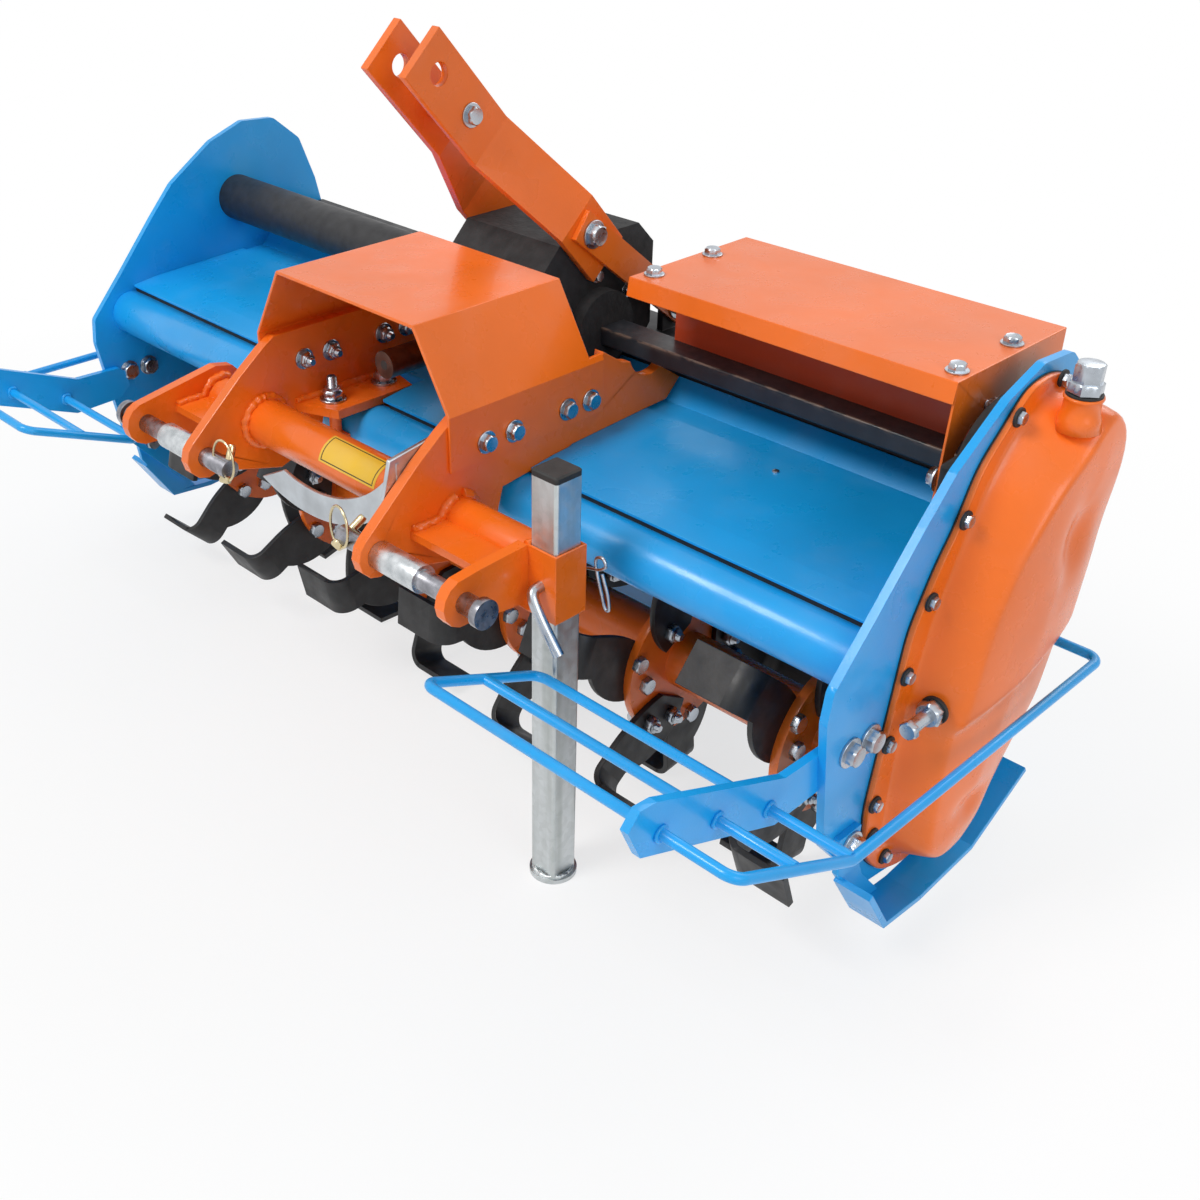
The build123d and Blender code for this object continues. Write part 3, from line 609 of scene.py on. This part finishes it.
def spine_point(p):
    """Nearest point on the line down the middle of the case."""
    top, low = Vector((468, 104)), Vector((372, -222))
    along = max(0.0, min(1.0, (p - top).dot(low - top) / (low - top).length_squared))
    return top.lerp(low, along)


def rim_loop(x, inward):
    """The rim's outline at this X, moved towards the spine."""
    return [(x, *(p + (s - p).normalized() * inward)) for p, s in zip(rim, spines)]


case_bag = Bag()
spines = relaxed([spine_point(p) for p in rim], 12)
# Loops from the rim to the spine, closer together over the wall
shares = [0.012] + [0.022 * k for k in range(1, 24)] + [0.53 + 0.0294 * k for k in range(17)]
case_loops = []
for share in shares:
    loop = [p.lerp(s, share) for p, s in zip(rim, spines)]
    case_loops.append([(case_x(p.x, p.y), p.x, p.y) for p in loop])
case_bag.add(*rings(case_loops, closed_ends=False))
edge = ((RIM_BACK, 0.0), (RIM_FACE - 1, 0.0), (RIM_FACE, 1.2), (RIM_FACE, 1.7))
case_bag.add(*rings([rim_loop(x, inward) for x, inward in edge], closed_ends=False))
neck = [(24, -10), (21.5, 4), (19.6, 8), (18.9, 12), (18.9, 22), (20.2, 23), (20.6, 24.5)]
neck += [(20.2, 26), (17, 26.6), (2, 26.6)]
case_bag.add(*lathe(neck, 36), facing((738, 468, 199.5), (0, 0, 1)))
gear_case = case_bag.piece("gear_case_pressing", orange, "frame", 180)
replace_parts(gear_case, "gear_case")

gasket_bag = Bag()
edge = ((690, -0.2), (690.5, -0.9), (691.7, -0.9), (RIM_BACK, -0.2))
gasket_bag.add(*rings([rim_loop(x, inward) for x, inward in edge]))
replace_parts(gasket_bag.piece("case_gasket_seal", rubber, "frame", 60), "case_gasket")

cap_bag = Bag()
cap_at = facing((738, 468, 226.2), (0, 0.02, 1)) @ Matrix.Rotation(math.radians(12), 4, "Z")
cap_bag.add(*hexagon(32, [(0.9, 1.5), (WHOLE, 3), (WHOLE, 12.5), (0.98, 14)]), cap_at)
plug_top = [(WHOLE, 13.5), (WHOLE, 31), (1.0, 33.2), (0.7, 34), (0.05, 34.2)]
cap_bag.add(*hexagon(27, plug_top), cap_at)
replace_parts(cap_bag.piece("filler_cap_plug", zinc, "frame"), "filler_cap")


# ------------------------------------------------- drive housing under the cover
def prism(bag, outline, x_low, x_high):
    """Straight bar along X with this outline of (y, z) points."""
    bag.add(*rings([[(x, y, z) for y, z in outline] for x in (x_low, x_high)]))


housing = Bag()
prism(housing, [(437, 132), (437, 109.5), (460, 97.6), (471, 98), (480, 108), (480, 132)], 97, 660)
housing_bar = housing.piece("drive_housing_bar", bar_black, "frame")
bevelled(housing_bar, 1.6)
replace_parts(housing_bar, "drive_tube")

casting = Bag()
disc = [tuple(around(DRIVE, 81, a)) for a in range(152, -36, -9)]
prism(casting, [(346, 163), (372, 164)] + disc + [(505, 76), (482, 48), (368, 48), (346, 60)], 660, 680)
casting_flange = casting.piece("drive_flange_casting", cast_black, "frame")
bevelled(casting_flange, 3)
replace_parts(casting_flange, "drive_flange")

# Black strip in the gap between the deck's front edge and the tube: painted shade in that gap
gap_shade = Bag()
for x_low, x_high in ((-734, -187), (-92, 92), (187, 679)):
    prism(gap_shade, [(239, 16.6), (243, 15.2), (243, 25.6), (239, 25.2)], x_low, x_high)
gap_shade.piece("deck_gap_painted_shade", rubber, "frame")

# Orange sheet under the cover, coloured dark red as painted shade under the cover
inner_sheet = Bag()
prism(inner_sheet, [(473, 131.5), (476, 131.5), (476, 229.5), (473, 229.5)], 199, 640)
bevelled(inner_sheet.piece("cover_inner_sheet", painted_shade_orange, "frame"), 0.6)


# ------------------------------------------------------------ bolts on the frame
bright = Bag()
black = Bag()
seal = 3
rim_bolts = [(416, 205), (345, 115), (304, 36), (280, -45), (265, -126), (258, -204), (264, -253)]
rim_bolts += [(300, -304), (498, 222), (560, 176), (572, 90), (562, -10), (548, -100), (516, -178)]
rim_bolts += [(462, -270), (404, -326)]
for index, (y, z) in enumerate(rim_bolts):
    washer(black, facing((RIM_FACE, y, z), (1, 0, 0)), 10.5, 4, seal)
    bolt(bright, (RIM_FACE + seal, y, z), (1, 0, 0), 13, 17 * index, plate=False)

# Tensioner in the case's front wall
bolt(bright, (724, 262, -90), (0, -1, -0.02), 19, 10, plate=False)
bright.add(*lathe([(8, 0), (8, 44)], 18), facing((724, 306, -88), (0, -1, -0.02)))
plain_nut(bright, facing((724, 303, -88), (0, -1, -0.02)), 27, 2, 11, 13)
washer(black, facing((724, 307, -88), (0, -1, 0)), 16.5, 8, 4)

# Side plates: guard bar and skid bolts, with nuts inside
for side, outer, inner in SIDE_PLATES:
    for y, z in ((204, -108), (240, -109)):
        bolt(bright, (side * outer, y, z), (side, 0, 0), 24, 12 * y)
        washer(bright, facing((side * inner, y, z), (-side, 0, 0)), 16, 8, 2.5)
        plain_nut(bright, facing((side * (inner - 2.5), y, z), (-side, 0, 0)), 24, 1.5, 8, 9.5)
    bolt(bright, (side * (outer + 8), 223, -241), (side, 0, 0), 24, 8)
    plain_nut(bright, facing((side * inner, 223, -241), (-side, 0, 0)), 24, 1.5, 10, 12)

# Folded cover
for x, y in ((626, 412), (626, 520), (213, 412), (213, 520)):
    bolt(bright, (x, y, 233.5), (0, 0, 1), 17, x + y)
bolt(bright, (640, 388, 125), (-1, 0, 0), 20, 5)
lock_nut(bright, (660, 453, 190), (-1, 0, 0), 18, 3, 12)

# Hood: heads outside, nuts on the plates' inner faces
hood_outer, hood_inner = 186, 167
for side in (1, -1):
    for y in (161, 205, 294, 334):
        bolt(bright, (side * hood_outer, y, 88), (side, 0, 0), 19, 3 * y)
        lock_nut(bright, (side * hood_inner, y, 88), (-side, 0, 0), 19, 5, y)

# Tube clamps: nuts and stud ends above the plate, heads below
for side in (1, -1):
    for y in (183, 269):
        lock_nut(bright, (side * 140, y, 32.3), (0, 0, 1), 24, 14, y)
        bolt(bright, (side * 140, y, -20), (0, 0, -1), 24, y, plate=False)

# Gearbox covers and the flange of its neck
for side in (1, -1):
    for k in range(6):
        bolt(bright, (side * 85, *around(DRIVE, 66, 60 * k + 30)), (side, 0, 0), 13, 9 * k)
for k in range(6):
    x, z = around((0, DRIVE[1]), 53, 60 * k)
    bolt(bright, (x, 300, z), (0, -1, 0), 8, 9 * k, plate=False)

# Mast: through bolts at the stays and the spacer
for side in (1, -1):
    bolt(bright, (side * 105, 419, 257), (side, 0, 0), 24, 11)
    bolt(bright, (side * 105, 588, 124), (side, 0, 0), 24, 4)
    bolt(bright, (side * 39, 280.5, 409.5), (side, 0, 0), 19, 4)

# Filler neck's seal
washer(black, facing((738, 468, 225.6), (0, 0.02, 1)), 19, 8, 2.6)

# Rivet on the deck
rivet_at = facing((411, 420, 40.4), (0, -0.03, 1))
bright.add(*lathe([(4.5, 0), (4.2, 1.6), (2.6, 2.6), (0.2, 2.9)], 16), rivet_at)
bright.piece("frame_fasteners", zinc, "frame")
black.piece("frame_seal_washers", rubber, "frame")

# ------------------------------------------------------------ bolts on the blades
rotor_bag = Bag()
last_flange, flange_pitch, flange_twist = 565, 230, 17
for flange in range(6):
    flange_x = last_flange - flange_pitch * flange
    for blade in range(6):
        hand = -1 if blade % 2 == 0 else 1
        angle = 140 + 60 * blade + flange_twist * flange
        for radius, lead in ((97, 3), (76, 27)):
            p = around(ROTOR, radius, angle + lead)
            nut_at, head_at = (flange_x + hand * 14, *p), (flange_x - hand * 6, *p)
            lock_nut(rotor_bag, nut_at, (hand, 0, 0), 21, 4, angle, plate=False)
            bolt(rotor_bag, head_at, (-hand, 0, 0), 21, angle, plate=False)
rotor_bag.piece("blade_fasteners", zinc, "rotor")

# --------------------------------------------------------------- welds
orange_welds = Bag()
blue_welds = Bag()
steel_welds = Bag()
for side in (1, -1):
    # Hitch plates: round the lug tube and the cross tube, and along the plate's foot
    weld_line(orange_welds, ring_points((side * 183.5, 118, 5), 28, 100, 440, 26), 7.5, 1 + side)
    weld_line(orange_welds, ring_points((side * 165.5, 92, 22), 31.5, 90, 450, 30), 6.5, 3 + side, True)
    foot = [(side * 166, 142, 33), (side * 165.5, 220, 33.5), (side * 166, 303, 33)]
    weld_line(orange_welds, foot, 5.6, 5 + side)
    if side < 0:
        weld_line(orange_welds, ring_points((-308.5, 118, 5), 28, 60, 400, 26), 7.0, 7)
    weld_line(orange_welds, [(side * 184, 47, 13.5), (side * 184, 93, 13.5)], 6.2, 9 + side)
    weld_line(orange_welds, [(side * 308.5, 47, 13.5), (side * 308.5, 90, 13.5)], 6.2, 11 + side)
# Stand socket
weld_line(orange_welds, [(321, 95, 33), (321, 141, 33)], 4.0, 13)
weld_line(orange_welds, [(312, 93.5, 30), (312, 93.5, -48)], 3.0, 14)
# Guard rods where they meet their bars
for side, _, inner in SIDE_PLATES:
    for y, z in ((-83, -50), (0, -84), (84, -120)):
        for x in (inner - 11.2, inner + 1.2):
            weld_line(blue_welds, ring_points((side * x, y, z), 7.2, 0, 360, 14), 2.6, y + x, True)
# Foot of the stand
weld_line(steel_welds, ring_points((344.5, 118, -433.5), 24, 0, 360, 30, "Z"), 2.8, 2, True)
orange_welds.piece("orange_weld_beads", orange, "frame", 60)
blue_welds.piece("blue_weld_beads", blue, "frame", 60)
steel_welds.piece("foot_weld", stand_zinc, "stand", 60)

# ------------------------------------------------------- pins, rings and clips
clips = Bag()
wires = Bag()
# Each linch pin: its side, the way it points and how far its ring has swung
for side, lean, ring_lean in ((-1, (0.1, -0.42, -0.9), 0.35), (1, (-0.25, -0.72, -0.65), 0.8)):
    head = Vector((side * 122, 2, 3))
    direction = Vector(lean).normalized()
    body = [(6.5, -22), (7.6, -20), (7.6, -14), (5.4, -12), (5.4, 24), (4.2, 27)]
    clips.add(*lathe(body, 20), facing(head, -direction))
    hub = head + direction * 17
    across = Vector((1, 0, 0)) - direction * direction.x
    across.normalize()
    swing = Matrix.Rotation(ring_lean, 3, across)
    centre = hub - (swing @ direction) * 24
    circle = []
    spots = 16
    for k in range(spots):
        a = 2 * math.pi * k / spots
        circle.append(centre + 26 * (math.cos(a) * (swing @ direction) + math.sin(a) * across * 0.82))
    wires.add(*swept(circle, 1.7, True))
wires.piece("linch_pin_rings", brass, "frame")
clips.piece("linch_pins", brass, "frame")

handle = Bag()
handle_line = [(345, 148, -10), (345, 120, -10), (345, 92, -10), (347, 80, -14), (358, 77, -30)]
handle_line += [(374, 78, -54), (388, 80, -75)]
handle.add(*swept(handle_line, 6.6))
handle.piece("stand_pin_handle", zinc, "frame")
clip = Bag()
clip_line = [(352, 150, -6), (366, 151, -2), (380, 151, 2), (388, 152, 9), (383, 152, 17)]
clip_line += [(374, 152, 14), (373, 152, 5), (378, 151, -10), (384, 151, -28), (390, 151, -44)]
clip_line += [(396, 151, -43), (394, 151, -28), (388, 151, -12), (384, 151, -2)]
clip.add(*swept(clip_line, 1.9))
clip.piece("stand_clip", zinc, "frame")

# Arm that carries the drive shaft hook along the hitch plate
arm = Bag()
prism(arm, [(22, 52), (34, 99), (118, 111), (136, 112), (140, 100), (96, 72), (60, 48)], 160.5, 166.2)
bevelled(arm.piece("hook_arm", sheet_zinc, "frame"), 1.2)

# Flat black disc on the input shaft's end: painted shade in place of its centre hole
hole_shade_disc = Bag()
mark_at = facing((0, 163.0, DRIVE[1]), (0, -1, 0))
hole_shade_disc.add(*lathe([(6.2, 0), (6.0, 0.25), (3.0, 0.3), (0.1, 0.3)], 20), mark_at)
hole_shade_disc.piece("centre_hole_painted_shade", label_black, "input_shaft")


# ------------------------------------------- blank label on the hitch cross tube
def label_strip(bag, x_low, x_high, a_low, a_high, lift):
    """Thin curved patch lying on the cross tube."""
    cols, rows, thickness = 12, 10, 0.25
    points, faces = [], []
    for r in (CROSS[2] + lift, CROSS[2] + (lift - thickness)):
        for i in range(cols + 1):
            x = x_low + (x_high - x_low) * i / cols
            for j in range(rows + 1):
                a = math.radians(a_low + (a_high - a_low) * j / rows)
                points.append((x, CROSS[0] + r * math.cos(a), CROSS[1] + r * math.sin(a)))
    half = (cols + 1) * (rows + 1)
    for i in range(cols):
        for j in range(rows):
            k = i * (rows + 1) + j
            faces.append((k, k + 1, k + rows + 2, k + rows + 1))
            faces.append((half + k, half + k + rows + 1, half + k + rows + 2, half + k + 1))
    bag.add(points, faces)


yellow_bag = Bag()
label_strip(yellow_bag, -12, 96, 92, 168, 0.35)
yellow_bag.piece("blank_label", label_yellow, "frame", 60)
line_bag = Bag()
for span in ((-8, 92, 97, 99.2), (-8, 92, 160.8, 163), (-8, -6.8, 97, 163), (90.8, 92, 97, 163)):
    label_strip(line_bag, *span, 0.6)
line_bag.piece("blank_label_outline", label_black, "frame", 60)


# ----------------------------------------------------- floor, light and camera
def seen_rays(tree):
    """1 for rays that show the background: from the camera, off gloss and through glass."""
    paths = tree.nodes.new("ShaderNodeLightPath")
    total = paths.outputs["Is Camera Ray"]
    for name in ("Is Glossy Ray", "Is Transmission Ray"):
        both = tree.nodes.new("ShaderNodeMath")
        both.operation = "MAXIMUM"
        tree.links.new(total, both.inputs[0])
        tree.links.new(paths.outputs[name], both.inputs[1])
        total = both.outputs[0]
    return total


def stage_material(name, colour):
    """Pale ground that keeps the shadow near the machine and is white further out."""
    mat = shader(name, Roughness=0.9)
    tree = mat.node_tree
    tone = ramp_of(mat, noise_of(mat, 3, 3), shade(colour, 0.985), shade(colour, 1.0), 0.3, 0.7)
    connect(mat, Base_Color=tone)
    place = add_node(mat, "ShaderNodeNewGeometry").outputs["Position"]
    reach = add_node(mat, "ShaderNodeVectorMath", {0: place}, operation="LENGTH").outputs["Value"]
    spans = {"From Min": 0.7, "From Max": 2.0, "To Min": 0.72, "To Max": 1.0}
    far = add_node(mat, "ShaderNodeMapRange", {"Value": reach, **spans}).outputs["Result"]
    share = math_of(mat, "MULTIPLY", far, seen_rays(tree))
    glow = add_node(mat, "ShaderNodeEmission", {"Color": (1, 1, 1, 1), "Strength": 1.0}).outputs[0]
    matt = tree.nodes["Principled BSDF"].outputs[0]
    blend = add_node(mat, "ShaderNodeMixShader", {0: share, 1: matt, 2: glow})
    tree.links.new(blend.outputs[0], tree.nodes["Material Output"].inputs["Surface"])
    return mat


def plane(name, size, z, mat):
    """Square of ground around the origin."""
    mesh = bpy.data.meshes.new(name)
    h = size / 2
    mesh.from_pydata([(-h, -h, z), (h, -h, z), (h, h, z), (-h, h, z)], [], [(0, 1, 2, 3)])
    mesh.materials.append(mat)
    obj = bpy.data.objects.new(name, mesh)
    bpy.context.scene.collection.objects.link(obj)


plane("floor", 60, -0.440, stage_material("floor_pale", (0.96, 0.96, 0.96)))

world = bpy.data.worlds.new("studio")
bpy.context.scene.world = world
world.use_nodes = True
tree = world.node_tree
tree.nodes.clear()
pick = tree.nodes.new("ShaderNodeMixShader")
output = tree.nodes.new("ShaderNodeOutputWorld")
tree.links.new(seen_rays(tree), pick.inputs["Fac"])
# Soft light for the machine, plain white where the background is seen
for socket, colour, strength in ((1, (0.93, 0.97, 1.0, 1), 0.40), (2, (1, 1, 1, 1), 1.0)):
    sky = tree.nodes.new("ShaderNodeBackground")
    sky.inputs["Color"].default_value = colour
    sky.inputs["Strength"].default_value = strength
    tree.links.new(sky.outputs[0], pick.inputs[socket])
tree.links.new(pick.outputs[0], output.inputs["Surface"])


def lamp(name, place, target, size, power, colour):
    """Round area lamp that faces its target."""
    light = bpy.data.lights.new(name, "AREA")
    light.shape = "DISK"
    light.size = size
    light.energy = power
    light.color = colour
    obj = bpy.data.objects.new(name, light)
    bpy.context.scene.collection.objects.link(obj)
    obj.location = place
    obj.rotation_euler = (Vector(target) - Vector(place)).to_track_quat("-Z", "Y").to_euler()


lamp("key", (-0.6, -2.6, 3.6), (0.2, 0.2, 0.0), 1.7, 118, (1.0, 0.98, 0.95))
lamp("fill", (3.6, -0.6, 1.8), (0.2, 0.2, -0.1), 2.0, 34, (0.95, 0.98, 1.0))
lamp("back", (0.4, 3.4, 2.6), (0.1, 0.3, 0.0), 2.4, 40, (1.0, 1.0, 1.0))

# The photo's camera, fitted to the machine's straight edges
CAMERA_AT = (1.2924, -0.8340, 0.7884)
azimuth, elevation, roll = math.radians(45.53), math.radians(32.8), math.radians(0.17)
flat = math.cos(elevation)
forward = Vector((-math.sin(azimuth) * flat, math.cos(azimuth) * flat, -math.sin(elevation)))
right = Vector((math.cos(azimuth), math.sin(azimuth), 0))
up = right.cross(forward)
tilted_right = right * math.cos(roll) + up * math.sin(roll)
tilted_up = tilted_right.cross(forward)
camera_data = bpy.data.cameras.new("camera")
camera_data.sensor_width = 36
camera_data.lens = 42.22
camera_data.shift_x = 0.0485
camera_data.shift_y = 0.0242
camera_data.clip_end = 100
camera = bpy.data.objects.new("camera", camera_data)
bpy.context.scene.collection.objects.link(camera)
turn = Matrix((tilted_right, tilted_up, -forward)).transposed()
camera.matrix_world = Matrix.Translation(CAMERA_AT) @ turn.to_4x4()
bpy.context.scene.camera = camera
bpy.context.scene.view_settings.view_transform = "Standard"

bpy.context.view_layer.update()
